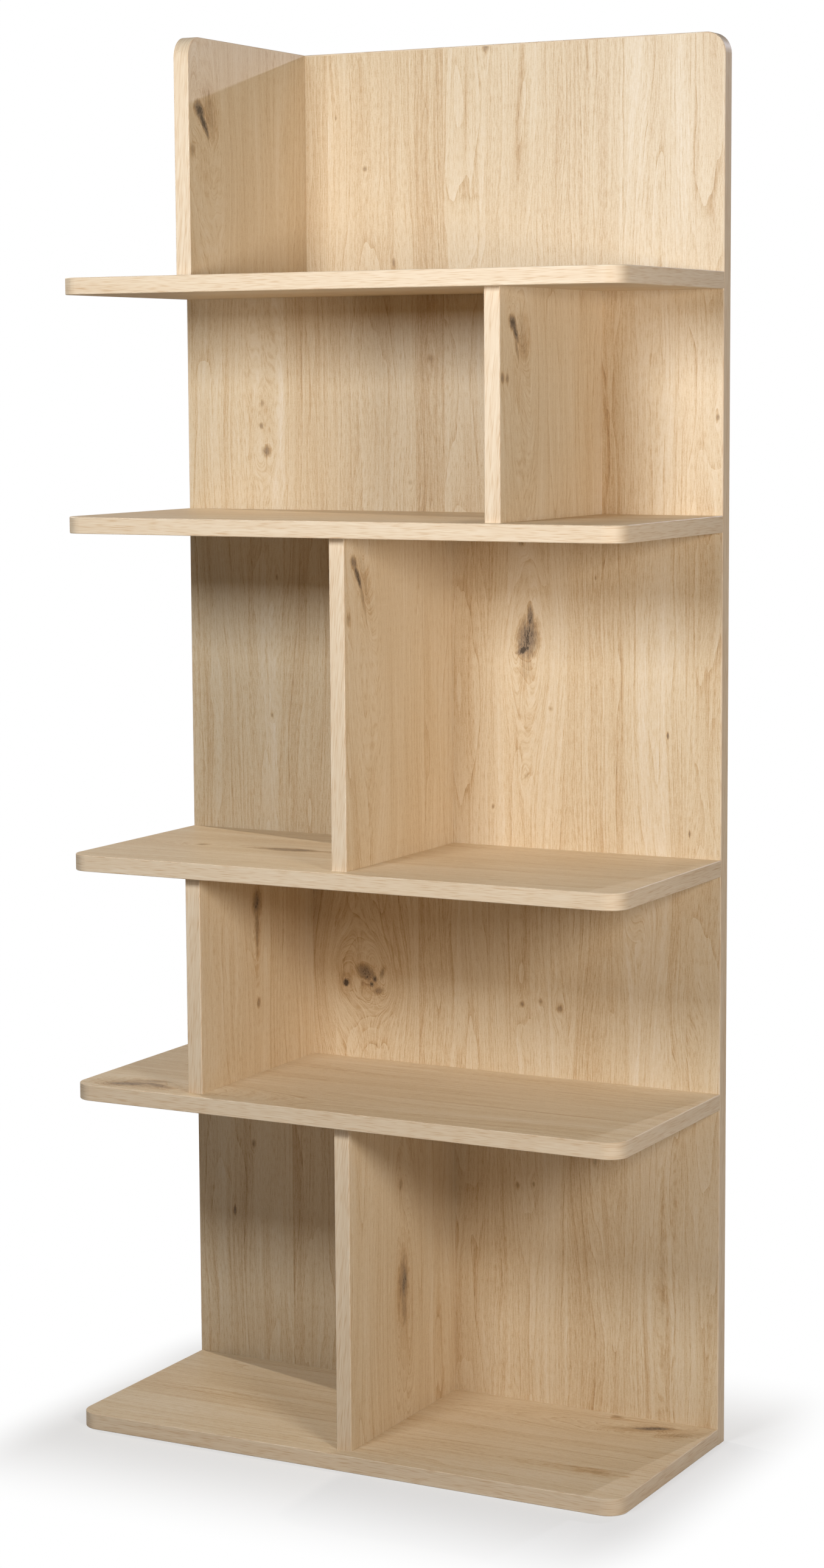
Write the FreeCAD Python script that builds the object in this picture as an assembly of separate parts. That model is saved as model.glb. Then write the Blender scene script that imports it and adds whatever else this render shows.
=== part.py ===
import FreeCAD, Part
import math
import os

# Open bookcase: shelves and dividers of faced board, carried by one full-height back panel.
# Millimetres, +Z up, front towards -Y, origin on the floor at the centre of the footprint.

# Boards
case_width = 850.0
shelf_depth = 337.0
shelf_thickness = 23.0
divider_thickness = 23.0
back_thickness = 23.0
corner_radius = 28.0

# Clear heights, from the floor up
bottom_bay_height = 457.0
second_bay_height = 305.0
third_bay_height = 450.0
fourth_bay_height = 305.0
upstand_height = 318.0

# Dividers
divider_setback = 20.0
divider_offset = 233.0

# Edge strips, glued round the visible board edges
strip_thickness = 2.0
strip_arris = 0.8

# Connecting screws, driven from behind into the rear edges of shelves and dividers
screw_shank_diameter = 7.0
screw_head_overhang = 1.5
screw_head_height = 3.0
screw_head_sink = 0.5
screw_thread_depth = 1.0
screw_grip = 27.0
screw_clearance = 0.1
screw_hole_relief = 2.0
socket_width_share = 0.66
socket_depth_share = 0.8
screws_per_shelf = 3
shelf_screw_inset = 45.0
divider_screw_inset = 70.0
divider_screw_spacing = 200.0

# Dowels between the dividers' ends and the shelves
dowel_diameter = 8.0
dowel_length = 30.0
dowel_clearance = 0.1
dowel_hole_relief = 1.0
dowel_seat_share = 0.5
dowel_inset = 60.0

# Working values for cuts, round fasteners and picking edges
cut_overrun = 5.0
same_place = 1e-4
fastener_sides = 12
socket_sides = 6

# Planes that the boards share
case_depth = shelf_depth + back_thickness
left_x = -case_width / 2
right_x = case_width / 2
front_y = -case_depth / 2
joint_y = front_y + shelf_depth
rear_y = joint_y + back_thickness
divider_front_y = front_y + divider_setback

shelf_names = ["base_shelf", "second_shelf", "third_shelf", "fourth_shelf", "top_shelf"]
bay_heights = [bottom_bay_height, second_bay_height, third_bay_height, fourth_bay_height]
shelf_undersides = [0]
for bay_height in bay_heights:
    shelf_undersides.append(shelf_undersides[-1] + shelf_thickness + bay_height)
shelf_tops = [underside + shelf_thickness for underside in shelf_undersides]
case_height = shelf_tops[-1] + upstand_height

# Each divider stands on the shelf of the same rank and ends under the next one, or at the case top
divider_centres = {
    "bottom_bay_divider": 0,
    "second_bay_divider": -divider_offset,
    "third_bay_divider": 0,
    "fourth_bay_divider": divider_offset,
    "top_divider": -divider_offset,
}
divider_ends = shelf_undersides[1:] + [case_height]

# Sides of a board, low and high along each axis in turn
SIDES = ["left", "right", "front", "rear", "foot", "top"]

ACROSS = FreeCAD.Vector(1, 0, 0)
FORWARD = FreeCAD.Vector(0, -1, 0)
UP = FreeCAD.Vector(0, 0, 1)


def box_between(low, high):
    """Plain box from its lowest to its highest corner."""
    size = high - low
    return Part.makeBox(size.x, size.y, size.z, low)


def side_axis(side):
    """Axis that a side faces along, and whether it is the high end of it."""
    axis, is_high = divmod(SIDES.index(side), 2)
    return axis, is_high


def side_plane(low, high, side):
    """Axis and coordinate of one side of the box between two corners."""
    axis, is_high = side_axis(side)
    return axis, (high if is_high else low)[axis]


def edges_on(shape, planes):
    """Edges of a convex shape that lie in every one of the planes."""
    found = []
    for edge in shape.Edges:
        middle = edge.CenterOfMass
        if all(abs(middle[axis] - place) < same_place for axis, place in planes):
            found.append(edge)
    return found


def rounded_panel(low, high, banded_sides, radius):
    """Box whose corners between neighbouring banded sides are rounded."""
    panel = box_between(low, high)
    corner_edges = []
    for first, second in zip(banded_sides, banded_sides[1:]):
        planes = [side_plane(low, high, first), side_plane(low, high, second)]
        corner_edges += edges_on(panel, planes)
    if corner_edges:
        panel = panel.makeFillet(radius, corner_edges)
    return panel


def drawn_in(low, high, banded_sides):
    """Corners of the box left when every banded side gives up the strip's thickness."""
    inner_low = FreeCAD.Vector(low)
    inner_high = FreeCAD.Vector(high)
    for side in banded_sides:
        axis, is_high = side_axis(side)
        if is_high:
            inner_high[axis] -= strip_thickness
        else:
            inner_low[axis] += strip_thickness
    return inner_low, inner_high


def banded_board(low, high, face_sides, banded_sides, open_sides):
    """Board and its edge strip: the strip runs along the banded sides, flush with both faces."""
    inner_low, inner_high = drawn_in(low, high, banded_sides)
    board = rounded_panel(inner_low, inner_high, banded_sides, corner_radius - strip_thickness)
    outer = rounded_panel(low, high, banded_sides, corner_radius)
    arris_edges = []
    for face in face_sides:
        face_edges = edges_on(outer, [side_plane(low, high, face)])
        for edge in face_edges:
            middle = edge.CenterOfMass
            planes = [side_plane(low, high, side) for side in open_sides]
            if all(abs(middle[axis] - place) > same_place for axis, place in planes):
                arris_edges.append(edge)
    strip = outer.makeChamfer(strip_arris, arris_edges).cut(board)
    return board, strip


def shelf(underside):
    """Full-width shelf against the back panel, banded on its left, front and right edges."""
    low = FreeCAD.Vector(left_x, front_y, underside)
    high = FreeCAD.Vector(right_x, joint_y, underside + shelf_thickness)
    return banded_board(low, high, ["foot", "top"], ["left", "front", "right"], ["rear"])


def back_panel():
    """Upright panel from the floor to the case top, banded on its sides and top."""
    low = FreeCAD.Vector(left_x, joint_y, 0)
    high = FreeCAD.Vector(right_x, rear_y, case_height)
    return banded_board(low, high, ["front", "rear"], ["left", "top", "right"], ["foot"])


def divider(centre, foot, end):
    """Upright between two shelves, banded on its front edge, or on front and top where it ends free."""
    low = FreeCAD.Vector(centre - divider_thickness / 2, divider_front_y, foot)
    high = FreeCAD.Vector(centre + divider_thickness / 2, joint_y, end)
    if end == case_height:
        return banded_board(low, high, ["left", "right"], ["front", "top"], ["foot", "rear"])
    return banded_board(low, high, ["left", "right"], ["front"], ["foot", "rear", "top"])


def bar(radius, start, way, length, sides=fastener_sides):
    """Straight bar along a line; many-sided, so that the hidden fasteners and their holes stay light."""
    upright = way.cross(ACROSS)
    corners = []
    for rank in range(sides + 1):
        angle = 2 * math.pi * rank / sides
        spoke = ACROSS * math.cos(angle) + upright * math.sin(angle)
        corners.append(start + spoke * radius)
    return Part.Face(Part.makePolygon(corners)).extrude(way * length)


shank_radius = screw_shank_diameter / 2
core_radius = shank_radius - screw_thread_depth
head_radius = shank_radius + screw_head_overhang
joint_depth = back_thickness - screw_head_sink


def connecting_screw(place):
    """One-piece screw: head and shank in the back panel, threaded core in the board in front."""
    head = bar(head_radius, place, FORWARD, screw_head_height)
    shank = bar(shank_radius, place, FORWARD, joint_depth)
    core = bar(core_radius, place, FORWARD, joint_depth + screw_grip)
    socket_radius = shank_radius * socket_width_share
    socket_depth = screw_head_height * socket_depth_share
    socket = bar(socket_radius, place, FORWARD, socket_depth, socket_sides)
    return head.fuse([shank, core]).removeSplitter().cut(socket)


def screw_passage(place):
    """Stepped hole right through the back panel; the screw head seats on its shoulder."""
    mouth = place - FORWARD * cut_overrun
    counterbore = bar(head_radius + screw_clearance, mouth, FORWARD, cut_overrun + screw_head_height)
    through = bar(shank_radius + screw_clearance, place, FORWARD, joint_depth + cut_overrun)
    return counterbore.fuse(through)


def screw_pilot(place):
    """Blind hole in the rear edge of a shelf or divider."""
    mouth = place + FORWARD * (joint_depth - cut_overrun)
    return bar(core_radius + screw_clearance, mouth, FORWARD, cut_overrun + screw_grip + screw_hole_relief)


dowel_radius = dowel_diameter / 2
dowel_seat_depth = shelf_thickness * dowel_seat_share


def dowel(place, way):
    """Peg that starts at the bottom of its hole in the shelf and runs into the divider's end."""
    return bar(dowel_radius, place - way * dowel_seat_depth, way, dowel_length)


def dowel_hole(place, way, depth):
    """Blind hole that enters a face at the place."""
    return bar(dowel_radius + dowel_clearance, place - way * cut_overrun, way, depth + cut_overrun)


def evenly(first, last, count):
    """Places spread evenly from the first to the last."""
    step = (last - first) / (count - 1)
    return [first + step * rank for rank in range(count)]


boards = {}
strips = {}
boards["back_panel"], strips["back_panel"] = back_panel()
for name, underside in zip(shelf_names, shelf_undersides):
    boards[name], strips[name] = shelf(underside)
for (name, centre), foot, end in zip(divider_centres.items(), shelf_tops, divider_ends):
    boards[name], strips[name] = divider(centre, foot, end)

cuts = {name: [] for name in boards}
groups = {"shelf_screws": [], "divider_screws": [], "divider_dowels": []}


def drive_screw(group, board_name, x, z):
    """Place one screw from behind, with its holes in the back panel and the board in front."""
    place = FreeCAD.Vector(x, rear_y - screw_head_sink, z)
    groups[group].append(connecting_screw(place))
    cuts["back_panel"].append(screw_passage(place))
    cuts[board_name].append(screw_pilot(place))


def set_dowel(shelf_name, divider_name, place, way):
    """Place one dowel where a divider meets a shelf, with its hole in each."""
    divider_hole_depth = dowel_length - dowel_seat_depth + dowel_hole_relief
    groups["divider_dowels"].append(dowel(place, way))
    cuts[shelf_name].append(dowel_hole(place, -way, dowel_seat_depth))
    cuts[divider_name].append(dowel_hole(place, way, divider_hole_depth))


for name, underside in zip(shelf_names, shelf_undersides):
    screw_columns = evenly(left_x + shelf_screw_inset, right_x - shelf_screw_inset, screws_per_shelf)
    for x in screw_columns:
        drive_screw("shelf_screws", name, x, underside + shelf_thickness / 2)

for rank, (name, centre) in enumerate(divider_centres.items()):
    foot = shelf_tops[rank]
    end = divider_ends[rank]
    screw_span = end - foot - 2 * divider_screw_inset
    screw_count = max(math.ceil(screw_span / divider_screw_spacing), 1) + 1
    for z in evenly(foot + divider_screw_inset, end - divider_screw_inset, screw_count):
        drive_screw("divider_screws", name, centre, z)
    for y in (divider_front_y + dowel_inset, joint_y - dowel_inset):
        set_dowel(shelf_names[rank], name, FreeCAD.Vector(centre, y, foot), UP)
        if end < case_height:
            set_dowel(shelf_names[rank + 1], name, FreeCAD.Vector(centre, y, end), -UP)

os.makedirs("parts", exist_ok=True)
for name, board in boards.items():
    board.cut(cuts[name]).exportStep("parts/" + name + ".step")
    strips[name].exportStep("parts/" + name + "_edge_strip.step")
for name, solids in groups.items():
    Part.makeCompound(solids).exportStep("parts/" + name + ".step")
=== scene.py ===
import math

import bpy
from mathutils import Matrix, Vector


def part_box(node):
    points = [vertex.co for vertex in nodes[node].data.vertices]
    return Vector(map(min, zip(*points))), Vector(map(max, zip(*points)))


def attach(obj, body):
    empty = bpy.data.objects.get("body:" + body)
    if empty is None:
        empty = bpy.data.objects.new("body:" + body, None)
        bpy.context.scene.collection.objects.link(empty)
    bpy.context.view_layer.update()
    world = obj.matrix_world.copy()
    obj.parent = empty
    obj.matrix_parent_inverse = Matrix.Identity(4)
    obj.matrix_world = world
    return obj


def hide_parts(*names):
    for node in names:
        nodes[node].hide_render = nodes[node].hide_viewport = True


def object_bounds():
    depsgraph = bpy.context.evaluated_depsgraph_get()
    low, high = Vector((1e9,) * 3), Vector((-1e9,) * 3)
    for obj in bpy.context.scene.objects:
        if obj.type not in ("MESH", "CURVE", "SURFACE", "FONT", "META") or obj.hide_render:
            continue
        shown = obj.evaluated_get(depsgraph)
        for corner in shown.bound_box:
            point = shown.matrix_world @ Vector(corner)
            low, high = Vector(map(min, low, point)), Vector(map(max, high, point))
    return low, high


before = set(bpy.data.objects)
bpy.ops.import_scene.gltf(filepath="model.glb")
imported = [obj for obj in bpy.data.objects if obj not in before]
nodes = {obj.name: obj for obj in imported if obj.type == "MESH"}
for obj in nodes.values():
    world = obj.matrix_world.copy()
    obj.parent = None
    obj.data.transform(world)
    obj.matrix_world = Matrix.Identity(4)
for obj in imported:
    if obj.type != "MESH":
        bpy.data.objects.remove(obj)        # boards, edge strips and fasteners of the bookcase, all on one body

# Open bookcase in pale oak decor. Lengths are metres, as in the frame; in the materials, with their knots
# and planks, and inside the fasteners' trees they are millimetres.
cad_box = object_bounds()
MM = 0.001

# Kinds of node
COORDINATES = "ShaderNodeTexCoord"
SPLIT = "ShaderNodeSeparateXYZ"
JOIN = "ShaderNodeCombineXYZ"
SPLIT_COLOUR = "ShaderNodeSeparateColor"
MATH = "ShaderNodeMath"
VECTOR = "ShaderNodeVectorMath"
NOISE = "ShaderNodeTexNoise"
WHITE = "ShaderNodeTexWhiteNoise"
RANGE = "ShaderNodeMapRange"
RAMP = "ShaderNodeValToRGB"
MIX = "ShaderNodeMix"
BUMP = "ShaderNodeBump"
GROUP = "ShaderNodeGroup"


def linear(colour):
    """Linear red, green, blue and alpha of an sRGB hex colour."""
    values = [int(colour[start:start + 2], 16) / 255 for start in (1, 3, 5)]
    return tuple(v / 12.92 if v <= 0.04045 else ((v + 0.055) / 1.055) ** 2.4 for v in values) + (1.0,)


def linear_stops(stops):
    """Stops of a colour ramp with their sRGB hex colours made linear."""
    return [(position, linear(colour)) for position, colour in stops]


def add(tree, kind, inputs, out=0, stops=None, **settings):
    """Add one node with its settings; an input is linked where it is given a socket or a list of them."""
    node = tree.nodes.new(kind)
    for name, value in settings.items():
        setattr(node, name, value)
    if stops:
        elements = node.color_ramp.elements
        for rank, (position, colour) in enumerate(stops):
            element = elements[rank] if rank < 2 else elements.new(position)
            element.position = position
            element.color = colour
    for key, value in inputs.items():
        if isinstance(value, bpy.types.NodeSocket):
            tree.links.new(value, node.inputs[key])
        elif isinstance(value, list):
            for item in value:
                tree.links.new(item, node.inputs[key])
        else:
            node.inputs[key].default_value = value
    return node.outputs[out]


def new_material(name):
    """Empty material; gives it, its tree and its shader."""
    material = bpy.data.materials.new(name)
    material.use_nodes = True
    return material, material.node_tree, material.node_tree.nodes["Principled BSDF"]


# Camera, at the photograph's viewing angle

CAMERA_PLACE = Vector((2.1333, -3.9705, 1.4833))
CAMERA_YAW = math.radians(27.937)
CAMERA_PITCH = math.radians(-6.970)
CAMERA_ROLL = math.radians(-0.3455)
CAMERA_LENS_MM = 75.0
CAMERA_SENSOR_MM = 36.0
LEVEL = math.pi / 2

camera = bpy.data.objects.new("camera", bpy.data.cameras.new("camera"))
camera.data.sensor_width = CAMERA_SENSOR_MM
camera.data.lens = CAMERA_LENS_MM
camera.matrix_world = (
    Matrix.Translation(CAMERA_PLACE)
    @ Matrix.Rotation(CAMERA_YAW, 4, "Z")
    @ Matrix.Rotation(LEVEL + CAMERA_PITCH, 4, "X")
    @ Matrix.Rotation(CAMERA_ROLL, 4, "Z")
)
bpy.context.scene.collection.objects.link(camera)
bpy.context.scene.camera = camera
bpy.context.scene.view_settings.view_transform = "Standard"


# Studio: lamps, surroundings and floor

def lamp(name, place, size, watts, colour, aim_height):
    """Square lamp that faces the bookcase's upright axis at a height."""
    data = bpy.data.lights.new(name, "AREA")
    data.shape = "SQUARE"
    data.size = size
    data.energy = watts
    data.color = linear(colour)[:3]
    made = bpy.data.objects.new(name, data)
    made.location = place
    aim = Vector((0.0, 0.0, aim_height)) - Vector(place)
    made.rotation_euler = aim.to_track_quat("-Z", "Y").to_euler()
    bpy.context.scene.collection.objects.link(made)


# place, side in metres, watts, colour and the height that the lamp faces
lamp("front_lamp", (-0.18, -1.93, 2.0), 0.55, 34.0, "#f2f8ff", 1.8)
lamp("right_lamp", (2.2, -1.65, 1.52), 0.6, 40.0, "#fffaf5", 1.0)
lamp("left_lamp", (-2.35, 0.72, 2.6), 0.06, 32.0, "#fff8f0", 1.0)
lamp("rear_lamp", (1.05, 4.2, 3.09), 0.06, 52.0, "#e9eeff", 1.0)
# for what the photograph does not show: the rear face, and the top shelf from above
lamp("back_lamp", (0.0, 3.2, 1.45), 1.0, 18.0, "#ffffff", 1.0)
lamp("top_lamp", (-0.23, 0.6, 3.9), 0.3, 9.0, "#ffffff", 1.0)

ROOM_IN_REFLECTIONS = 0.1
BACKDROP_IN_REFLECTIONS = 0.4
BACKDROP_BLEND = 0.25


def studio_world():
    """White to the camera; in reflections a pale backdrop behind the bookcase
    and a dim room in front of it."""
    world = bpy.data.worlds.new("studio")
    world.use_nodes = True
    tree = world.node_tree
    way = add(tree, COORDINATES, {}, out="Generated")
    rearward = add(tree, SPLIT, {0: way}, out="Y")
    backdrop = {"Value": rearward, "From Min": -BACKDROP_BLEND, "From Max": BACKDROP_BLEND}
    backdrop.update({"To Min": ROOM_IN_REFLECTIONS, "To Max": BACKDROP_IN_REFLECTIONS})
    backdrop = add(tree, RANGE, backdrop)
    camera_ray = add(tree, "ShaderNodeLightPath", {}, out="Is Camera Ray")
    rays = camera_ray.node.outputs
    mirrored = {0: rays["Is Glossy Ray"], 1: rays["Is Transmission Ray"]}
    mirrored = add(tree, MATH, mirrored, operation="MAXIMUM")
    mirrored = add(tree, MATH, {0: mirrored, 1: backdrop}, operation="MULTIPLY")
    strength = add(tree, MATH, {0: camera_ray, 1: mirrored}, operation="MAXIMUM")
    background = tree.nodes["Background"]
    background.inputs["Color"].default_value = linear("#ffffff")
    tree.links.new(strength, background.inputs["Strength"])
    bpy.context.scene.world = world


studio_world()

FLOOR_HALF = 12.0
FLOOR_DROP = 0.2 * MM
FLOOR_FADE_SIDE = 0.13
FLOOR_FADE_FRONT = 0.32
FLOOR_LEAST_WHITE = 0.54


def studio_floor():
    """Pale matt floor; to the camera it fades to white a short way from the bookcase."""
    mesh = bpy.data.meshes.new("floor")
    ways = ((-1, -1), (1, -1), (1, 1), (-1, 1))
    corners = [(x * FLOOR_HALF, y * FLOOR_HALF, -FLOOR_DROP) for x, y in ways]
    mesh.from_pydata(corners, [], [(0, 1, 2, 3)])
    floor = bpy.data.objects.new("floor", mesh)
    bpy.context.scene.collection.objects.link(floor)
    material, tree, shader = new_material("matt_studio_floor")
    shader.inputs["Base Color"].default_value = linear("#d2d0cd")
    shader.inputs["Roughness"].default_value = 0.9
    shader.inputs["Specular IOR Level"].default_value = 0.1
    place = add(tree, COORDINATES, {}, out="Object")
    outside = add(tree, VECTOR, {0: place}, operation="ABSOLUTE")
    outside = add(tree, VECTOR, {0: outside, 1: tuple(cad_box[1])}, operation="SUBTRACT")
    outside = add(tree, VECTOR, {0: outside, 1: (0.0, 0.0, 0.0)}, operation="MAXIMUM")
    reach = (FLOOR_FADE_SIDE, FLOOR_FADE_FRONT, 1.0)
    outside = add(tree, VECTOR, {0: outside, 1: reach}, operation="DIVIDE")
    outside = add(tree, VECTOR, {0: outside}, operation="LENGTH", out="Value")
    fade = {"Value": outside, "To Min": FLOOR_LEAST_WHITE}
    fade = add(tree, RANGE, fade, interpolation_type="SMOOTHSTEP")
    seen = add(tree, "ShaderNodeLightPath", {}, out="Is Camera Ray")
    fade = add(tree, MATH, {0: fade, 1: seen}, operation="MULTIPLY")
    white = add(tree, "ShaderNodeEmission", {"Color": linear("#ffffff"), "Strength": 1.0})
    mixed = add(tree, "ShaderNodeMixShader", {0: fade, 1: shader.outputs[0], 2: white})
    tree.links.new(mixed, tree.nodes["Material Output"].inputs["Surface"])
    mesh.materials.append(material)


studio_floor()


# Oak facing

# Patterns along the grain: width and length of a streak in mm, detail, and step of the seed.
# The print's pores and speckle are too fine to show in the render, so they are drawn coarser.
SLOW_WANDER = (80.0, 500.0, 2.0, 0)
RING_SWAY = (500.0, 420.0, 0.0, 2)
RING_WOBBLE = (22.0, 150.0, 1.0, 3)
BROKEN_ROWS = (1.4, 28.0, 0.0, 4)
PORES = (0.8, 11.0, 0.0, 5)
THREADS = (4.5, 280.0, 1.0, 6)
LINES = (1.3, 90.0, 1.0, 7)
VEINS = (5.0, 420.0, 1.0, 8)
BROAD_BANDS = (30.0, 500.0, 2.0, 9)
SPECKLE = (1.6, 2.2, 0.0, 11)
RAGGED_EDGES = (5.0, 8.0, 3.0, 13)
CRACKS = (2.0, 4.5, 3.0, 15)
FEATHER = (2.0, 30.0, 2.0, 17)

# Growth rings in mm: how far the grain wanders, the rings sway and wobble, and the width of a year
WANDER = 26.0
SWAY = 14.0
WOBBLE = 7.0
RING_WIDTH = 4.8
RING_DEPTH_UNIT = 100.0
STEEPEST_ARCH = 0.12
EARLY_WOOD_SHARE = 0.26
LATE_WOOD_START_SHARE = 0.55
BROKEN_ROW_RANGE = (0.3, 0.56)
# planks of another tone take another layer of every pattern
LAYER_PER_TONE = 60.0

# Patterns in the tone, with the range of each that shows and how much it darkens the wood
TONE_PATTERNS = [
    (PORES, (0.45, 0.75), 0.2),
    (LINES, None, 0.3),
    (THREADS, None, 0.32),
    (VEINS, (0.54, 0.8), 0.2),
    (BROAD_BANDS, None, 0.5),
]
SPECKLE_STRENGTH = 0.2
ROW_STRENGTH = 0.3
LATE_WOOD_STRENGTH = -0.08
PLANK_TONE_STRENGTH = 0.7
STAIN_STRENGTH = 0.3
# brings the sum of the patterns to about 0 on average
TONE_START = -0.69

FEATHER_LEAST = 0.55
FEATHER_SPREAD = 0.9
CRACK_STRENGTH = 1.1
CRACK_START = -0.3
HEART_STRENGTH = 0.6
STAIN_RANGE = (0.1, 0.65)
KNOT_COVER_RANGE = (0.3, 1.0)
KNOT_COVER = 0.92

FILM_ROUGHNESS = 0.46
ROW_ROUGHNESS = 0.12
ROW_RELIEF = 0.1 * MM
ROW_RELIEF_STRENGTH = 0.08

OAK_COLOURS = [(0.0, "#e8d8c1"), (0.35, "#dbc4a1"), (0.65, "#c5a47a"), (1.0, "#987550")]
KNOT_COLOURS = [(0.55, "#6a543f"), (0.72, "#93806a"), (0.85, "#7a6753"), (0.98, "#3a2f26")]

# Knots, measured in their own half widths and half lengths
LEAN_END = 1.3
REACH_ALONG = 0.55
REACH_FADE = -0.13
RING_LIFT = 1.6
OVAL_SLIMNESS = 1.8
POINTED_SLIMNESS = 4.5
POINTED_TAPER = 0.8
RAGGEDNESS = 0.8
STAIN_RADIUS = 2.8
CORE_RADIUS = 0.8


def streaks(tree, grain, pattern, seed):
    """Noise drawn out along the grain to the pattern's width and length; 0.5 on average."""
    width, length, detail, seed_step = pattern
    stretched = {0: grain, 1: (1 / width, 1 / length, 1.0), 2: (0.0, 0.0, seed + seed_step)}
    stretched = add(tree, VECTOR, stretched, operation="MULTIPLY_ADD")
    return add(tree, NOISE, {"Vector": stretched, "Scale": 1.0, "Detail": detail})


def knot_group():
    """Group that leads the grain round one knot and lays rings about it; its core falls off into a stain.
    A short knot is oval, a long one is drawn to a point at both ends."""
    tree = bpy.data.node_groups.new("knot_in_the_grain", "ShaderNodeTree")
    carried = ["Shift", "Rings", "Core"]
    places = ["Across", "Along", "Ragged", "Knot Across", "Knot Along"]
    shape = ["Half Width", "Half Length", "Lean", "Dark"]
    for name in places + shape + carried:
        tree.interface.new_socket(name, in_out="INPUT", socket_type="NodeSocketFloat")
    for name in carried:
        tree.interface.new_socket(name, in_out="OUTPUT", socket_type="NodeSocketFloat")
    given = tree.nodes.new("NodeGroupInput").outputs
    along = add(tree, MATH, {0: given["Along"], 1: given["Knot Along"]}, operation="SUBTRACT")
    across = add(tree, MATH, {0: given["Across"], 1: given["Knot Across"]}, operation="SUBTRACT")
    lengths = add(tree, MATH, {0: along, 1: given["Half Length"]}, operation="DIVIDE")
    near = {"Value": lengths, "From Min": -LEAN_END, "From Max": LEAN_END}
    near.update({"To Min": -LEAN_END, "To Max": LEAN_END})
    leaned = add(tree, MATH, {0: add(tree, RANGE, near), 1: given["Half Length"]}, operation="MULTIPLY")
    leaned = add(tree, MATH, {0: leaned, 1: given["Lean"]}, operation="MULTIPLY")
    across = add(tree, MATH, {0: across, 1: leaned}, operation="SUBTRACT")
    widths = add(tree, MATH, {0: across, 1: given["Half Width"]}, operation="DIVIDE")

    # the grain parts well before the knot, and further off along the board than across it
    longer = add(tree, MATH, {0: lengths, 1: REACH_ALONG}, operation="MULTIPLY")
    wide = add(tree, JOIN, {"X": widths, "Y": longer})
    reach = add(tree, VECTOR, {0: wide, 1: wide}, operation="DOT_PRODUCT", out="Value")
    fade = add(tree, MATH, {0: reach, 1: REACH_FADE}, operation="MULTIPLY")
    fade = add(tree, MATH, {0: fade}, operation="EXPONENT")
    push = add(tree, MATH, {0: across, 1: fade}, operation="MULTIPLY")
    shift = add(tree, MATH, {0: given["Shift"], 1: push}, operation="SUBTRACT")
    lift = add(tree, MATH, {0: fade, 1: given["Half Width"]}, operation="MULTIPLY")
    lift = add(tree, MATH, {0: lift, 1: given["Dark"]}, operation="MULTIPLY")
    rings = add(tree, MATH, {0: lift, 1: RING_LIFT, 2: given["Rings"]}, operation="MULTIPLY_ADD")

    # the longer the knot is for its width, the sharper its ends; its outline is ragged
    slim = add(tree, MATH, {0: given["Half Length"], 1: given["Half Width"]}, operation="DIVIDE")
    taper = {"Value": slim, "From Min": OVAL_SLIMNESS, "From Max": POINTED_SLIMNESS}
    taper.update({"To Max": POINTED_TAPER})
    taper = add(tree, RANGE, taper)
    square = add(tree, MATH, {0: lengths, 1: lengths}, operation="MULTIPLY")
    narrow = add(tree, MATH, {0: square, 1: taper, 2: 1.0}, operation="MULTIPLY_ADD")
    narrow = add(tree, MATH, {0: widths, 1: narrow}, operation="MULTIPLY")
    plain = add(tree, JOIN, {"X": narrow, "Y": lengths})
    radius = add(tree, VECTOR, {0: plain}, operation="LENGTH", out="Value")
    radius = add(tree, MATH, {0: given["Ragged"], 1: RAGGEDNESS, 2: radius}, operation="MULTIPLY_ADD")
    core = {"Value": radius, "From Min": STAIN_RADIUS, "From Max": CORE_RADIUS, "To Max": given["Dark"]}
    core = add(tree, MATH, {0: given["Core"], 1: add(tree, RANGE, core)}, operation="MAXIMUM")
    result = tree.nodes.new("NodeGroupOutput")
    for name, value in zip(carried, (shift, rings, core)):
        tree.links.new(value, result.inputs[name])
    return tree


KNOT = knot_group()


def plank_values(tree, across, span, planks):
    """Ring centre in mm, depth of the rings, tone, and lean of the arches, in the plank at a place."""
    low, high = span
    share = add(tree, RANGE, {"Value": across, "From Min": low, "From Max": high})
    stops = []
    for edge, centre, depth, tone, lean in planks:
        edge_share = (edge - low) / (high - low)
        centre_share = (centre - low) / (high - low)
        stops.append((edge_share, (centre_share, depth / RING_DEPTH_UNIT, tone, lean)))
    plank = add(tree, RAMP, {"Fac": share}, stops=stops)
    plank.node.color_ramp.interpolation = "CONSTANT"
    lean = plank.node.outputs["Alpha"]
    centre_share = add(tree, SPLIT_COLOUR, {0: plank}, out="Red")
    depth = centre_share.node.outputs["Green"]
    tone = centre_share.node.outputs["Blue"]
    centre = add(tree, RANGE, {"Value": centre_share, "To Min": low, "To Max": high})
    return {"centre": centre, "depth": depth, "tone": tone, "lean": lean}


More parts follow.
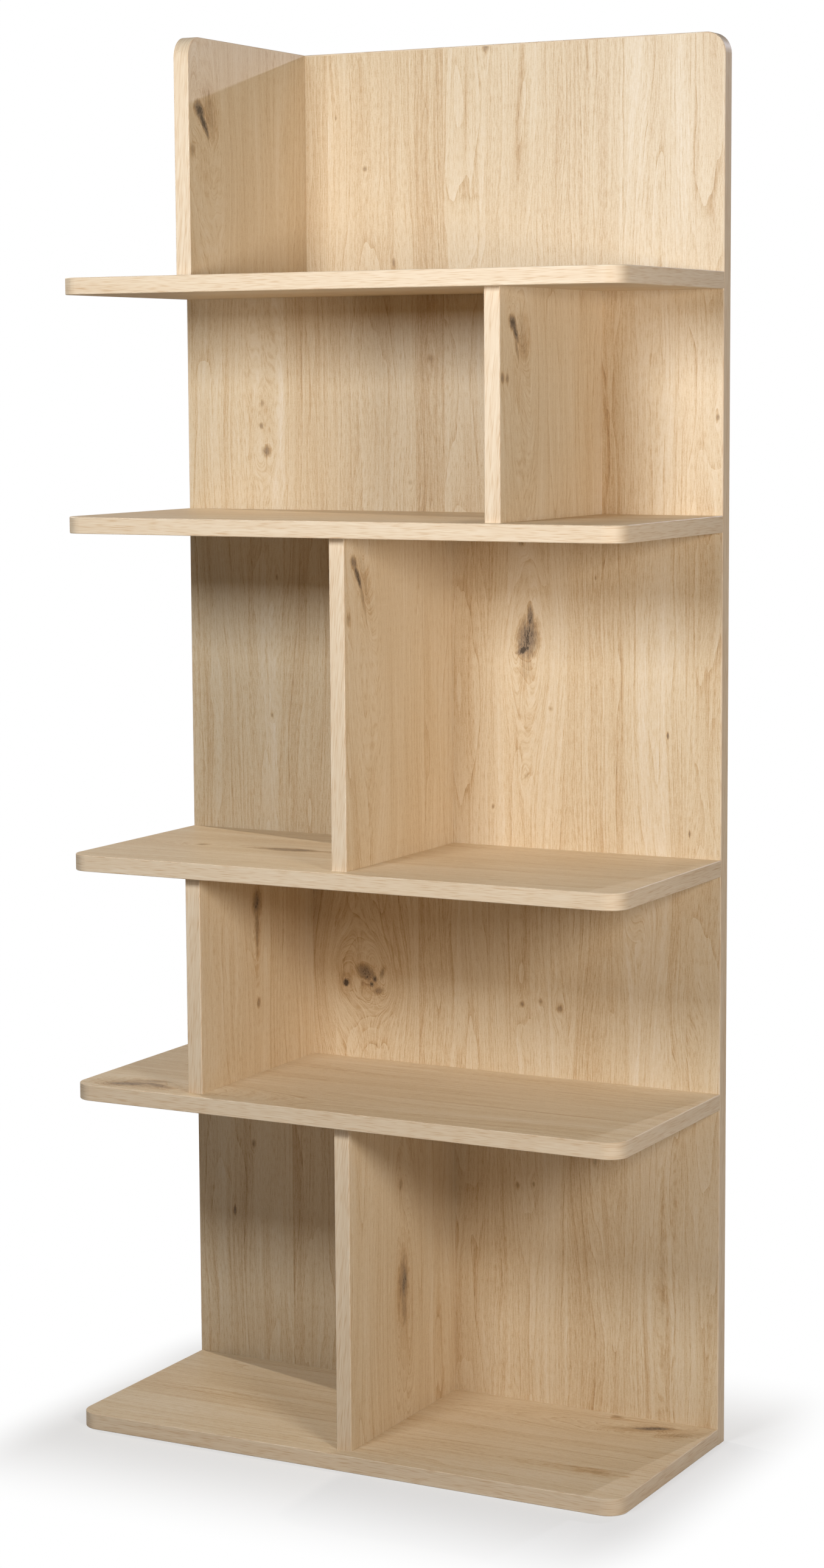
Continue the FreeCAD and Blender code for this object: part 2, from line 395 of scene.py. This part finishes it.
def led_round_knots(tree, across, along, flat, knots, seed):
    """Slow wander of the grain, led round the knots: shift across the board, rings, and the dark cores."""
    shift = streaks(tree, flat, SLOW_WANDER, seed)
    shift = add(tree, MATH, {0: shift, 1: 2 * WANDER, 2: -WANDER}, operation="MULTIPLY_ADD")
    rings = streaks(tree, flat, RING_WOBBLE, seed)
    rings = add(tree, MATH, {0: rings, 1: WOBBLE}, operation="MULTIPLY")
    ragged = streaks(tree, flat, RAGGED_EDGES, seed)
    core = 0.0
    for knot_across, knot_along, half_width, half_length, lean, dark in knots:
        values = {"Across": across, "Along": along, "Ragged": ragged}
        values.update({"Knot Across": knot_across, "Knot Along": knot_along, "Lean": lean, "Dark": dark})
        values.update({"Half Width": half_width, "Half Length": half_length})
        values.update({"Shift": shift, "Rings": rings, "Core": core})
        shift = add(tree, GROUP, values, out="Shift", node_tree=KNOT)
        rings = shift.node.outputs["Rings"]
        core = shift.node.outputs["Core"]

    # the knots run out into streaks along the grain
    feather = streaks(tree, flat, FEATHER, seed)
    feather = add(tree, MATH, {0: feather, 1: FEATHER_SPREAD, 2: FEATHER_LEAST}, operation="MULTIPLY_ADD")
    core = add(tree, MATH, {0: core, 1: feather}, operation="MULTIPLY")
    return shift, rings, core


def growth_rings(tree, flat, bent, along, plank, rings, seed):
    """Early wood, dark at the start of a year and of another weight every year, and paler late wood."""
    side = add(tree, MATH, {0: bent, 1: plank["centre"]}, operation="SUBTRACT")
    slope = {0: plank["lean"], 1: 2 * STEEPEST_ARCH, 2: -STEEPEST_ARCH}
    slope = add(tree, MATH, slope, operation="MULTIPLY_ADD")
    rise = add(tree, MATH, {0: along, 1: slope}, operation="MULTIPLY")
    rise = add(tree, MATH, {0: plank["depth"], 1: RING_DEPTH_UNIT, 2: rise}, operation="MULTIPLY_ADD")
    sway = streaks(tree, flat, RING_SWAY, seed)
    sway = add(tree, MATH, {0: sway, 1: 2 * SWAY, 2: -SWAY}, operation="MULTIPLY_ADD")
    rise = add(tree, MATH, {0: rise, 1: sway}, operation="ADD")
    section = add(tree, JOIN, {"X": side, "Y": rise})
    radius = add(tree, VECTOR, {0: section}, operation="LENGTH", out="Value")
    radius = add(tree, MATH, {0: radius, 1: rings}, operation="ADD")
    year = add(tree, MATH, {0: radius, 1: RING_WIDTH}, operation="DIVIDE")
    season = add(tree, MATH, {0: year}, operation="FRACT")
    early = {"Value": season, "From Max": EARLY_WOOD_SHARE, "To Min": 1.0, "To Max": 0.0}
    early = add(tree, RANGE, early)
    late = add(tree, RANGE, {"Value": season, "From Min": LATE_WOOD_START_SHARE, "From Max": 1.0})
    count = add(tree, MATH, {0: year}, operation="FLOOR")
    weight = add(tree, WHITE, {"W": count}, noise_dimensions="1D")
    early = add(tree, MATH, {0: early, 1: weight}, operation="MULTIPLY")
    return early, late


def printed_tone(tree, flat, grain, early, late, seed):
    """How much darker than its plank the print is, below 0 where it is paler, and its rows of pores."""
    start, end = BROKEN_ROW_RANGE
    broken = streaks(tree, grain, BROKEN_ROWS, seed)
    broken = add(tree, RANGE, {"Value": broken, "From Min": start, "From Max": end})
    rows = add(tree, MATH, {0: early, 1: broken}, operation="MULTIPLY")
    sums = [(rows, ROW_STRENGTH), (late, LATE_WOOD_STRENGTH)]
    for pattern, shown, strength in TONE_PATTERNS:
        value = streaks(tree, grain, pattern, seed)
        if shown:
            start, end = shown
            value = add(tree, RANGE, {"Value": value, "From Min": start, "From Max": end})
        sums.append((value, strength))
    sums.append((streaks(tree, flat, SPECKLE, seed), SPECKLE_STRENGTH))
    shade = TONE_START
    for value, strength in sums:
        shade = add(tree, MATH, {0: value, 1: strength, 2: shade}, operation="MULTIPLY_ADD")
    return shade, rows


def with_knots(tree, flat, wood, core, seed):
    """Colour of the wood with the knots laid over it: dark brown at the rim, paler further in,
    and cracked and near black at the heart."""
    crack = streaks(tree, flat, CRACKS, seed)
    heart = add(tree, MATH, {0: crack, 1: CRACK_STRENGTH, 2: CRACK_START}, operation="MULTIPLY_ADD")
    heart = add(tree, MATH, {0: core, 1: HEART_STRENGTH, 2: heart}, operation="MULTIPLY_ADD")
    knot_wood = add(tree, RAMP, {"Fac": heart}, stops=linear_stops(KNOT_COLOURS))
    start, end = KNOT_COVER_RANGE
    cover = {"Value": core, "From Min": start, "From Max": end, "To Max": KNOT_COVER}
    cover = add(tree, RANGE, cover, interpolation_type="SMOOTHSTEP")
    return add(tree, MIX, {0: cover, 6: wood, 7: knot_wood}, out=2, data_type="RGBA")


def oak_facing(name, across_axis, along_axis, span, planks, knots, contrast, seed):
    """Board faced with a matt film printed as knotty oak: planks with straight seams, arched growth rings
    with rows of pores, led round dark knots; the film leaves a soft sheen at low angles."""
    material, tree, shader = new_material(name)
    place = add(tree, COORDINATES, {}, out="Object")
    in_mm = add(tree, VECTOR, {0: place, "Scale": 1 / MM}, operation="SCALE")
    across = add(tree, SPLIT, {0: in_mm}, out=across_axis)
    along = across.node.outputs[along_axis]
    plank = plank_values(tree, across, span, planks)
    layer = add(tree, MATH, {0: plank["tone"], 1: LAYER_PER_TONE}, operation="MULTIPLY")
    flat = add(tree, JOIN, {"X": across, "Y": along, "Z": layer})
    shift, rings, core = led_round_knots(tree, across, along, flat, knots, seed)
    bent = add(tree, MATH, {0: across, 1: shift}, operation="ADD")
    grain = add(tree, JOIN, {"X": bent, "Y": along, "Z": layer})
    early, late = growth_rings(tree, flat, bent, along, plank, rings, seed)
    shade, rows = printed_tone(tree, flat, grain, early, late, seed)

    # the whole tone: 0 is the palest wood and 1 the darkest
    start, end = STAIN_RANGE
    stain = {"Value": core, "From Min": start, "From Max": end}
    stain = add(tree, RANGE, stain, interpolation_type="SMOOTHSTEP")
    shade = add(tree, MATH, {0: shade, 1: contrast}, operation="MULTIPLY")
    for value, strength in ((plank["tone"], PLANK_TONE_STRENGTH), (stain, STAIN_STRENGTH)):
        shade = add(tree, MATH, {0: value, 1: strength, 2: shade}, operation="MULTIPLY_ADD")
    wood = add(tree, RAMP, {"Fac": shade}, stops=linear_stops(OAK_COLOURS))
    wood = with_knots(tree, flat, wood, core, seed)
    tree.links.new(wood, shader.inputs["Base Color"])
    rough = add(tree, MATH, {0: rows, 1: ROW_ROUGHNESS, 2: FILM_ROUGHNESS}, operation="MULTIPLY_ADD")
    tree.links.new(rough, shader.inputs["Roughness"])
    relief = {"Strength": ROW_RELIEF_STRENGTH, "Distance": ROW_RELIEF, "Height": rows}
    tree.links.new(add(tree, BUMP, relief, invert=True), shader.inputs["Normal"])
    return material


# Edge strips: lines, bands and dashes along the strip, each with its width and length in mm, detail,
# step of the seed, range that shows, and how much it darkens the wood.
# The print's finest lines are too fine to show in the render, so they are drawn 1.2 mm wide.
STRIP_PATTERNS = [
    (1.2, 60.0, 1.0, 0, None, 0.5),
    (6.0, 250.0, 1.0, 3, None, 0.4),
    (1.2, 22.0, 0.0, 5, (0.5, 0.75), 0.3),
]
STRIP_TONE_START = -0.23
STRIP_COLOURS = [(0.0, "#e4d1b6"), (0.4, "#d8be9d"), (0.75, "#c5a27c"), (1.0, "#a57e5c")]
STRIP_ROUGHNESS = 0.55


def oak_strip(name, thin, slant, seed):
    """Edge strip printed as straight oak: fine lines run along the strip, straight or at a slight slant."""
    material, tree, shader = new_material(name)
    place = add(tree, COORDINATES, {}, out="Object")
    in_mm = add(tree, VECTOR, {0: place, "Scale": 1 / MM}, operation="SCALE")
    turned = {"Vector": in_mm, "Angle": slant}
    turned = add(tree, "ShaderNodeVectorRotate", turned, rotation_type="Y_AXIS")
    through = add(tree, SPLIT, {0: turned}, out=thin)
    sides = through.node.outputs
    first, second = [axis for axis in "XYZ" if axis != thin]
    run = add(tree, JOIN, {"X": through, "Y": sides[first], "Z": sides[second]})
    shade = STRIP_TONE_START
    for width, length, detail, seed_step, shown, strength in STRIP_PATTERNS:
        stretched = {0: run, 1: (1 / width, 1 / length, 1 / length), 2: (seed + seed_step, 0.0, 0.0)}
        stretched = add(tree, VECTOR, stretched, operation="MULTIPLY_ADD")
        value = add(tree, NOISE, {"Vector": stretched, "Scale": 1.0, "Detail": detail})
        if shown:
            start, end = shown
            value = add(tree, RANGE, {"Value": value, "From Min": start, "From Max": end})
        shade = add(tree, MATH, {0: value, 1: strength, 2: shade}, operation="MULTIPLY_ADD")
    wood = add(tree, RAMP, {"Fac": shade}, stops=linear_stops(STRIP_COLOURS))
    tree.links.new(wood, shader.inputs["Base Color"])
    shader.inputs["Roughness"].default_value = STRIP_ROUGHNESS
    return material


# Boards

def mm_span(node, axis):
    """Lowest and highest place of a node along an axis, in mm."""
    low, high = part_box(node)
    return low["XYZ".index(axis)] / MM, high["XYZ".index(axis)] / MM


# Knots: place across and along the grain, half width and half length in mm, lean, and darkness
BACK_KNOTS = [
    (130, 1128, 12, 21, 0.1, 1.0),
    (124, 1112, 6, 5, 0.8, 1.4),
    (134, 1158, 4, 15, 0.0, 1.0),
    (127, 1088, 11, 30, 0.1, 0.45),
    (340, 250, 6, 150, 0.0, 0.38),
    (358, 300, 4, 120, 0.0, 0.35),
    (166, 1030, 2.5, 3, 0.0, 0.55),
    (345, 1000, 1.2, 4, 0.0, 0.9),
    (75, 887, 1.6, 3, 0.0, 0.75),
    (128, 934, 3, 4, 0.5, 0.5),
    (235, 1215, 1.0, 3, 0.0, 0.7),
    (120, 1262, 4, 5, 0.0, 0.6),
    (-288, 1002, 2.5, 3, 0.0, 0.55),
    (-277, 1205, 2, 4, 0.0, 0.55),
    (378, 865, 1.0, 5, 0.0, 0.75),
    (-292, 1388, 6.5, 7, 0.0, 0.72),
    (-300, 1425, 2.5, 4, 0.0, 0.8),
    (-298, 1458, 3, 5, 0.0, 0.6),
    (-296, 1420, 24, 70, 0.0, 0.3),
    (-22, 1520, 4, 5, 0.0, 0.5),
    (-56, 1345, 3, 4, 0.0, 0.5),
    (417, 1437, 2, 4, 0.0, 0.7),
    (-167, 613, 2.8, 3.4, 0.0, 1.9),
    (-167, 618, 14, 20, 0.0, 0.45),
    (-134, 631, 11, 9, -0.3, 0.9),
    (-132, 624, 2.5, 3, 0.4, 1.1),
    (-119, 622, 3, 3.5, 0.0, 1.2),
    (-124, 614, 2.5, 3, 0.0, 1.1),
    (-107, 631, 4, 8, 0.3, 0.7),
    (-113, 605, 8, 5, 0.3, 0.65),
    (-128, 622, 22, 20, -0.3, 0.45),
    (120, 605, 3, 3.5, 0.0, 0.7),
    (150, 611, 3, 3.5, 0.0, 0.6),
    (180, 603, 4, 5, 0.0, 0.65),
    (383, 603, 8, 12, 0.0, 0.3),
    (300, 728, 10, 16, 0.2, 0.25),
    (-328, 355, 3, 5, 0.0, 0.65),
    (-362, 248, 2, 6, 0.0, 0.8),
    (235, 388, 4, 7, 0.0, 0.55),
    (113, 340, 3, 3.5, 0.0, 0.65),
    (138, 344, 3, 3, 0.0, 0.55),
    (-125, 1787, 3, 3.5, 0.0, 0.65),
    (-172, 1860, 1.2, 3, 0.0, 0.65),
    (-80, 1655, 4, 6, 0.0, 0.55),
    (67, 1950, 4, 8, 0.0, 0.75),
]
DIVIDER_KNOTS = {
    "top_divider": [
        (-122, 1838, 5, 15, -0.65, 1.3),
        (-132, 1853, 8, 8, -0.4, 1.3),
        (-104, 1850, 17, 36, -0.2, 0.5),
        (-122, 1790, 20, 60, -0.2, 0.3),
        (-150, 1800, 6, 9, 0.0, 0.6),
    ],
    "fourth_bay_divider": [
        (-114, 1551, 5, 11, -0.5, 1.1),
        (-121, 1562, 7, 7, -0.3, 1.2),
        (-110, 1530, 4, 16, -0.3, 0.65),
        (-92, 1545, 17, 36, -0.15, 0.5),
        (-108, 1490, 20, 60, -0.2, 0.3),
        (-152, 1491, 4, 5, 0.0, 0.8),
        (-138, 1490, 4, 5, 0.0, 0.7),
    ],
    "third_bay_divider": [
        (-122, 1228, 4.5, 14, -0.55, 1.2),
        (-132, 1246, 6, 7, -0.3, 1.0),
        (-108, 1197, 5, 30, -0.3, 0.6),
        (-102, 1222, 14, 44, -0.3, 0.45),
        (-112, 1180, 20, 60, -0.2, 0.3),
        (-148, 1172, 5, 8, 0.0, 0.6),
    ],
    "second_bay_divider": [
        (-5, 752, 10, 16, 0.0, 0.8),
        (-5, 750, 5, 10, 0.2, 1.05),
        (-5, 715, 6, 34, 0.0, 0.65),
        (-3, 605, 4, 6, 0.0, 0.7),
    ],
    "bottom_bay_divider": [
        (-3, 224, 12, 40, 0.0, 0.7),
        (-2, 224, 6, 20, 0.1, 1.0),
        (-2, 185, 8, 24, 0.0, 0.6),
        (-4, 200, 22, 90, 0.0, 0.4),
        (-10, 367, 5, 7, 0.0, 0.6),
    ],
}
SHELF_KNOTS = {
    "base_shelf": [
        (119, 342, 6, 20, 0.4, 1.15),
        (108, 388, 12, 26, 0.5, 0.5),
        (112, 330, 16, 50, 0.3, 0.5),
        (146, 274, 5, 8, 0.0, 0.6),
        (-85, 355, 8, 36, 0.0, 0.4),
    ],
    "second_shelf": [
        (-148, -352, 12, 30, 0.3, 0.8),
        (-138, -312, 9, 26, -0.3, 0.75),
        (-120, -330, 8, 30, 0.2, 0.65),
        (-138, -335, 24, 55, 0.0, 0.55),
    ],
    "third_shelf": [
        (-8, -165, 11, 44, 0.05, 0.8),
        (-4, -150, 5, 16, 0.2, 1.0),
        (-4, -90, 8, 40, 0.0, 0.5),
        (-15, -305, 6, 8, 0.0, 0.6),
    ],
    "fourth_shelf": [],
    "top_shelf": [],
}
# Planks: low edge across the grain, ring centre and its depth below the face in mm, tone, and lean of
# the arches, which is 0.5 for none
BACK_PLANKS = [
    (-425, -380, 60, 0.48, 0.55),
    (-330, -298, 40, 0.47, 0.5),
    (-262, -230, 60, 0.6, 0.5),
    (-188, -120, 55, 0.53, 0.55),
    (-48, -25, 12, 0.66, 0.5),
    (0, 30, 70, 0.5, 0.5),
    (63, 128, 36, 0.47, 0.5),
    (190, 260, 55, 0.56, 0.5),
    (275, 330, 10, 0.44, 0.5),
    (372, 400, 60, 0.5, 0.5),
]
DIVIDER_PLANKS = [(-160, -120, 80, 0.48, 0.5), (-70, -10, 90, 0.5, 0.5), (60, 100, 80, 0.47, 0.5)]
SHELF_PLANKS = [(-180, -140, 30, 0.46, 0.5), (-60, 0, 8, 0.53, 0.55), (70, 120, 50, 0.48, 0.5)]

BACK_CONTRAST = 0.9
DIVIDER_CONTRAST = 0.85
SHELF_CONTRAST = 0.8
BACK_SEED = 1.0
DIVIDER_SEED = 20.0
SHELF_SEED = 120.0
SEED_STEP = 15.0

nodes["back_panel"].data.materials[0] = oak_facing(
    "oak_print_back_panel", "X", "Z", mm_span("back_panel", "X"),
    BACK_PLANKS, BACK_KNOTS, BACK_CONTRAST, BACK_SEED,
)
for rank, (name, knots) in enumerate(DIVIDER_KNOTS.items()):
    nodes[name].data.materials[0] = oak_facing(
        "oak_print_" + name, "Y", "Z", mm_span(name, "Y"),
        DIVIDER_PLANKS, knots, DIVIDER_CONTRAST, DIVIDER_SEED + SEED_STEP * rank,
    )
for rank, (name, knots) in enumerate(SHELF_KNOTS.items()):
    nodes[name].data.materials[0] = oak_facing(
        "oak_print_" + name, "Y", "X", mm_span(name, "Y"),
        SHELF_PLANKS, knots, SHELF_CONTRAST, SHELF_SEED + SEED_STEP * rank,
    )

STRAIGHT = 0.0
DIVIDER_STRIP_SLANT = math.radians(-5)
SHELF_STRIP_SEED = 1.0
DIVIDER_STRIP_SEED = 40.0
BACK_STRIP_SEED = 80.0

shelf_strip = oak_strip("oak_print_shelf_edge_strip", "Z", STRAIGHT, SHELF_STRIP_SEED)
divider_strip = oak_strip("oak_print_divider_edge_strip", "X", DIVIDER_STRIP_SLANT, DIVIDER_STRIP_SEED)
back_strip = oak_strip("oak_print_back_edge_strip", "Y", STRAIGHT, BACK_STRIP_SEED)
for name, node in nodes.items():
    if name.endswith("_shelf_edge_strip"):
        node.data.materials[0] = shelf_strip
    elif name.endswith("_divider_edge_strip"):
        node.data.materials[0] = divider_strip
    elif name == "back_panel_edge_strip":
        node.data.materials[0] = back_strip


# Fasteners, hidden in the joints: the CAD has them as many-sided bars, and here they are round,
# with threads, chamfered heads and flutes

PIECES_APART = 60 * MM

# Sizes of a screw as shares of its head's radius
SCREW_SHARES = {
    "Head Radius": 1.0,
    "Head Height": 0.6,
    "Chamfer": 0.08,
    "Shank Radius": 0.7,
    "Core Radius": 0.5,
    "Pitch": 0.6,
    "Thread Radius": 0.19,
    "Socket Radius": 0.46,
    "Socket Depth": 0.48,
}
HEAD_SIDES = 32
SHANK_SIDES = 24
SOCKET_SIDES = 6
RIDGE_SIDES = 4
STEPS_PER_TURN = 20

FLUTE_DEPTH_SHARE = 0.07
FLUTES = 18
DOWEL_STEPS = 13
DOWEL_TAPER_START_SHARE = 0.41
DOWEL_END_SHARE = 0.8

ZINC_CLOUD = 2 * MM
ZINC_ROUGHNESS = (0.24, 0.42)
BEECH_FLECK_WIDTH = 0.5 * MM
BEECH_FLECK_LENGTH = 4 * MM
BEECH_COLOURS = [(0.35, "#d9b48a"), (0.7, "#b98a5f")]

CYLINDER = "GeometryNodeMeshCylinder"
MOVE = "GeometryNodeTransform"
SWEEP = "GeometryNodeCurveToMesh"
BOOLEAN = "GeometryNodeMeshBoolean"


def piece_boxes(name):
    """Low and high corner of each piece of a node whose pieces lie well apart."""
    groups = []
    for vertex in nodes[name].data.vertices:
        near = [group for group in groups if (group[0] - vertex.co).length < PIECES_APART]
        if near:
            near[0].append(vertex.co)
        else:
            groups.append([vertex.co])
    boxes = []
    for group in groups:
        low = Vector([min(place[axis] for place in group) for axis in range(3)])
        high = Vector([max(place[axis] for place in group) for axis in range(3)])
        boxes.append((low, high))
    return boxes


def new_tree(name, lengths):
    """Geometry Nodes tree with places and a material to take in, and the named lengths."""
    tree = bpy.data.node_groups.new(name, "GeometryNodeTree")
    tree.interface.new_socket("Places", in_out="INPUT", socket_type="NodeSocketGeometry")
    tree.interface.new_socket("Material", in_out="INPUT", socket_type="NodeSocketMaterial")
    for length in lengths:
        tree.interface.new_socket(length, in_out="INPUT", socket_type="NodeSocketFloat")
    tree.interface.new_socket("Pieces", in_out="OUTPUT", socket_type="NodeSocketGeometry")
    return tree, tree.nodes.new("NodeGroupInput").outputs


def set_out(tree, given, shape, turn):
    """Last nodes of a tree: the shape, made in mm, is turned and set at every place, as one mesh
    with its material."""
    at_places = {"Points": given["Places"], "Instance": shape, "Rotation": turn, "Scale": (MM, MM, MM)}
    shapes = add(tree, "GeometryNodeInstanceOnPoints", at_places)
    shapes = add(tree, "GeometryNodeRealizeInstances", {"Geometry": shapes})
    shapes = add(tree, "GeometryNodeSetMaterial", {"Geometry": shapes, "Material": given["Material"]})
    result = tree.nodes.new("NodeGroupOutput")
    tree.links.new(shapes, result.inputs["Pieces"])
    return tree


def screw_tree():
    """Connecting screw along +Z from its head: chamfered head with a hexagon socket, plain shank,
    threaded end."""
    tree, given = new_tree("connecting_screws", list(SCREW_SHARES) + ["Shank End", "Grip"])

    def rod(sides, radius, start, length):
        """Straight rod along the screw from a start below the head's face."""
        middle = add(tree, MATH, {0: length, 1: 0.5, 2: start}, operation="MULTIPLY_ADD")
        middle = add(tree, JOIN, {"Z": middle})
        shape = add(tree, CYLINDER, {"Vertices": sides, "Radius": radius, "Depth": length})
        return add(tree, MOVE, {"Geometry": shape, "Translation": middle})

    rim = add(tree, MATH, {0: given["Head Radius"], 1: given["Chamfer"]}, operation="SUBTRACT")
    cone = {"Vertices": HEAD_SIDES, "Depth": given["Chamfer"]}
    cone.update({"Radius Bottom": rim, "Radius Top": given["Head Radius"]})
    cone = add(tree, "GeometryNodeMeshCone", cone)
    below = add(tree, MATH, {0: given["Head Height"], 1: given["Chamfer"]}, operation="SUBTRACT")
    head = rod(HEAD_SIDES, given["Head Radius"], given["Chamfer"], below)
    shank_length = add(tree, MATH, {0: given["Shank End"], 1: given["Head Height"]}, operation="SUBTRACT")
    shank = rod(SHANK_SIDES, given["Shank Radius"], given["Head Height"], shank_length)
    core = rod(SHANK_SIDES, given["Core Radius"], given["Shank End"], given["Grip"])
    joined = {"Mesh 2": [cone, head, shank, core]}
    body = add(tree, BOOLEAN, joined, operation="UNION", solver="EXACT")
    from_face = add(tree, MATH, {0: given["Socket Depth"], 1: -1.0}, operation="MULTIPLY")
    twice = add(tree, MATH, {0: given["Socket Depth"], 1: 2.0}, operation="MULTIPLY")
    socket = rod(SOCKET_SIDES, given["Socket Radius"], from_face, twice)
    cut = {"Mesh 1": body, "Mesh 2": socket}
    body = add(tree, BOOLEAN, cut, operation="DIFFERENCE", solver="EXACT")

    threaded = {0: given["Thread Radius"], 1: -2.0, 2: given["Grip"]}
    threaded = add(tree, MATH, threaded, operation="MULTIPLY_ADD")
    turns = add(tree, MATH, {0: threaded, 1: given["Pitch"]}, operation="DIVIDE")
    path = {"Resolution": STEPS_PER_TURN, "Rotations": turns, "Height": threaded}
    path.update({"Start Radius": given["Core Radius"], "End Radius": given["Core Radius"]})
    path = add(tree, "GeometryNodeCurveSpiral", path)
    ridge = {"Resolution": RIDGE_SIDES, "Radius": given["Thread Radius"]}
    ridge = add(tree, "GeometryNodeCurvePrimitiveCircle", ridge)
    thread = add(tree, SWEEP, {"Curve": path, "Profile Curve": ridge, "Fill Caps": True})
    lift = add(tree, MATH, {0: given["Shank End"], 1: given["Thread Radius"]}, operation="ADD")
    lift = add(tree, JOIN, {"Z": lift})
    thread = add(tree, MOVE, {"Geometry": thread, "Translation": lift})
    screw = add(tree, "GeometryNodeJoinGeometry", {"Geometry": [body, thread]})
    return set_out(tree, given, screw, (LEVEL, 0.0, 0.0))


def dowel_tree():
    """Fluted dowel along Z about its middle, drawn in at both ends."""
    tree, given = new_tree("fluted_dowels", ["Radius", "Length", "Flute Depth"])
    half = add(tree, MATH, {0: given["Length"], 1: 0.5}, operation="MULTIPLY")
    start = add(tree, MATH, {0: half, 1: -1.0}, operation="MULTIPLY")
    start = add(tree, JOIN, {"Z": start})
    end = add(tree, JOIN, {"Z": half})
    path = add(tree, "GeometryNodeCurvePrimitiveLine", {"Start": start, "End": end})
    path = add(tree, "GeometryNodeResampleCurve", {"Curve": path, "Count": DOWEL_STEPS})
    share = add(tree, "GeometryNodeSplineParameter", {}, out="Factor")
    share = add(tree, MATH, {0: share, 1: 0.5}, operation="SUBTRACT")
    share = add(tree, MATH, {0: share}, operation="ABSOLUTE")
    draw = {"Value": share, "From Min": DOWEL_TAPER_START_SHARE, "From Max": 0.5}
    draw.update({"To Min": 1.0, "To Max": DOWEL_END_SHARE})
    draw = add(tree, RANGE, draw)
    inner = add(tree, MATH, {0: given["Radius"], 1: given["Flute Depth"]}, operation="SUBTRACT")
    flutes = {"Points": FLUTES, "Inner Radius": inner, "Outer Radius": given["Radius"]}
    flutes = add(tree, "GeometryNodeCurveStar", flutes)
    dowel = add(tree, SWEEP, {"Curve": path, "Profile Curve": flutes, "Scale": draw, "Fill Caps": True})
    return set_out(tree, given, dowel, (0.0, 0.0, 0.0))


def set_pieces(name, tree, places, sizes, material, node):
    """Plain mesh of a tree's pieces at the places; it stands for the CAD node."""
    mesh = bpy.data.meshes.new(name + "_places")
    mesh.from_pydata(places, [], [])
    holder = bpy.data.objects.new(name + "_places", mesh)
    bpy.context.scene.collection.objects.link(holder)
    modifier = holder.modifiers.new("pieces", "NODES")
    modifier.node_group = tree
    for item in tree.interface.items_tree:
        if item.name == "Material":
            modifier[item.identifier] = material
        elif item.name in sizes:
            modifier[item.identifier] = sizes[item.name] / MM
    evaluated = holder.evaluated_get(bpy.context.evaluated_depsgraph_get())
    made = bpy.data.objects.new(name, bpy.data.meshes.new_from_object(evaluated))
    made.data.materials.pop(index=0)
    bpy.data.objects.remove(holder)
    bpy.context.scene.collection.objects.link(made)
    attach(made, "root")
    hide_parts(node)


def zinc_plated_steel():
    """Zinc-plated steel, barrel plated: bright grey with a slightly uneven, satin gloss."""
    material, tree, shader = new_material("zinc_plated_steel")
    shader.inputs["Base Color"].default_value = linear("#c3c6c9")
    shader.inputs["Metallic"].default_value = 1.0
    place = add(tree, COORDINATES, {}, out="Object")
    cloud = add(tree, NOISE, {"Vector": place, "Scale": 1 / ZINC_CLOUD, "Detail": 2.0})
    smoothest, roughest = ZINC_ROUGHNESS
    rough = add(tree, RANGE, {"Value": cloud, "To Min": smoothest, "To Max": roughest})
    tree.links.new(rough, shader.inputs["Roughness"])
    return material


def beech():
    """Beech, turned and fluted, unfinished: pinkish tan with short darker flecks along the grain."""
    material, tree, shader = new_material("beech_dowel")
    place = add(tree, COORDINATES, {}, out="Object")
    per_fleck = (1 / BEECH_FLECK_WIDTH, 1 / BEECH_FLECK_WIDTH, 1 / BEECH_FLECK_LENGTH)
    stretched = add(tree, VECTOR, {0: place, 1: per_fleck}, operation="MULTIPLY")
    fleck = add(tree, NOISE, {"Vector": stretched, "Scale": 1.0, "Detail": 2.0})
    wood = add(tree, RAMP, {"Fac": fleck}, stops=linear_stops(BEECH_COLOURS))
    tree.links.new(wood, shader.inputs["Base Color"])
    shader.inputs["Roughness"].default_value = 0.6
    return material


screws = screw_tree()
zinc = zinc_plated_steel()
panel_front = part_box("back_panel")[0].y
for name in ("shelf_screws", "divider_screws"):
    boxes = piece_boxes(name)
    low, high = boxes[0]
    head_radius = (high.x - low.x) / 2
    shank_end = high.y - panel_front
    screw_sizes = {size: share * head_radius for size, share in SCREW_SHARES.items()}
    screw_sizes["Shank End"] = shank_end
    screw_sizes["Grip"] = high.y - low.y - shank_end
    heads = [((low.x + high.x) / 2, high.y, (low.z + high.z) / 2) for low, high in boxes]
    set_pieces("threaded_" + name, screws, heads, screw_sizes, zinc, name)

boxes = piece_boxes("divider_dowels")
low, high = boxes[0]
dowel_radius = (high.x - low.x) / 2
dowel_sizes = {
    "Radius": dowel_radius,
    "Length": high.z - low.z,
    "Flute Depth": FLUTE_DEPTH_SHARE * dowel_radius,
}
middles = [(low + high) / 2 for low, high in boxes]
dowels = dowel_tree()
set_pieces("fluted_divider_dowels", dowels, middles, dowel_sizes, beech(), "divider_dowels")
